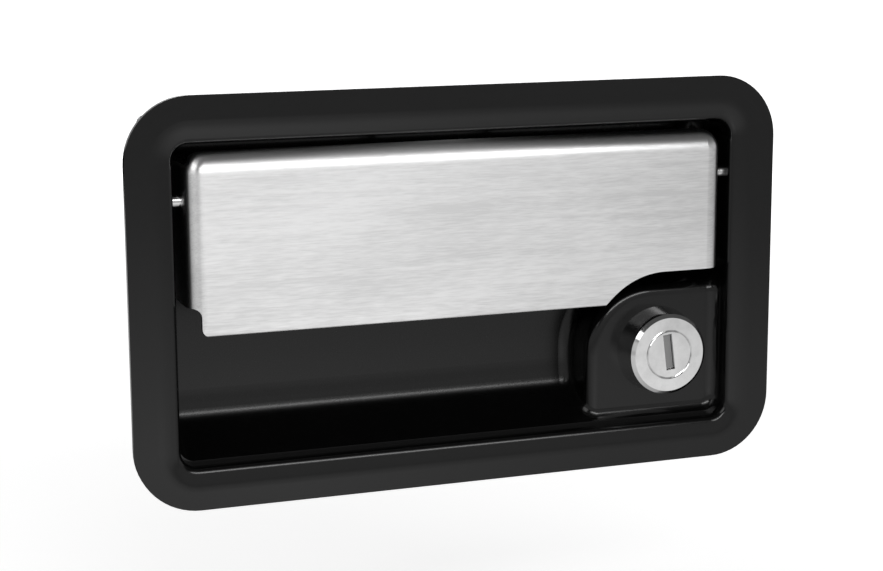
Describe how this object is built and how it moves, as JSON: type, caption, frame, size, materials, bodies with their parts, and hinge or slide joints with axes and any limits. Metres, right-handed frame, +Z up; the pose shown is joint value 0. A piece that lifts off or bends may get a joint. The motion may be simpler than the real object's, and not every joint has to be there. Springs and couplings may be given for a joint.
{
  "type": "paddle latch",
  "caption": "Flush paddle latch: a drawn pan with a hinged pull paddle, a spring bolt behind it and a key lock with a cam on a raised platform.",
  "frame": {"origin": "centre of the flange, in the plane where the gasket meets the face of the door panel", "axes": "+X to the right seen from outside, +Y through the panel into the door, +Z up"},
  "size_m": [0.1714, 0.0385, 0.1016],
  "materials": {
    "black_steel": "semi-gloss black coating",
    "brushed_stainless": "fine horizontal brushing",
    "bright_nickel": "bright nickel plate",
    "zinc_steel": "satin zinc plate",
    "bolt_steel": "sintered and polished steel",
    "pin_steel": "drawn steel",
    "spring_steel": "hard drawn wire",
    "shutter_steel": "plain stainless strip",
    "screw_steel": "black oxide",
    "wafer_brass": "stamped brass",
    "gasket_rubber": "matt closed-cell rubber"
  },
  "bodies": {
    "pan": {"pan": "black_steel", "mounting_studs": "zinc_steel", "gasket": "gasket_rubber", "pivot_pin": "pin_steel", "pin_rings": "spring_steel", "latch_housing": "zinc_steel", "slide_springs": "spring_steel", "lock_housing": "bright_nickel", "lock_washer": "zinc_steel", "lock_nut": "zinc_steel"},
    "paddle": {"paddle": "brushed_stainless", "paddle_bracket": "zinc_steel"},
    "slide": {"slide_plate": "zinc_steel", "bolt_spring": "spring_steel"},
    "bolt": {"bolt": "bolt_steel", "cross_pin": "pin_steel"},
    "plug": {"lock_plug": "bright_nickel", "shutter_pin": "pin_steel", "tumbler_wafers": "wafer_brass", "lock_cam": "zinc_steel", "cam_washer": "zinc_steel", "cam_screw": "screw_steel"},
    "shutter": {"dust_shutter": "shutter_steel"}
  },
  "joints": [
    {"name": "paddle_swing", "type": "hinge", "parent": "pan", "child": "paddle", "pos_m": [0, 0.00235, 0.025], "axis": [-1, 0, 0], "range_deg": [0, 30], "stiffness_Nm_per_rad": 0.288, "springref_deg": -28.65},
    {"name": "slide_travel", "type": "slide", "parent": "pan", "child": "slide", "axis": [0, 0, -1], "range_m": [0, 0.0126], "deforming": ["slide_springs"]},
    {"name": "bolt_slam", "type": "slide", "parent": "slide", "child": "bolt", "axis": [0, 0, -1], "range_m": [0, 0.011], "stiffness_N_per_m": 400, "springref_m": -0.01, "deforming": ["bolt_spring"]},
    {"name": "key_turn", "type": "hinge", "parent": "pan", "child": "plug", "pos_m": [0.0563, 0, -0.0219], "axis": [0, -1, 0], "range_deg": [0, 90]},
    {"name": "shutter_swing", "type": "hinge", "parent": "plug", "child": "shutter", "pos_m": [0.05471, -0.0023, -0.0221], "axis": [-0.1219, 0, 0.9925], "range_deg": [0, 80], "stiffness_Nm_per_rad": 0.0005, "springref_deg": -17.19}
  ],
  "couplings": [
    {"joint": "slide_travel", "follows": "paddle_swing", "m_per_rad": 0.024}
  ]
}
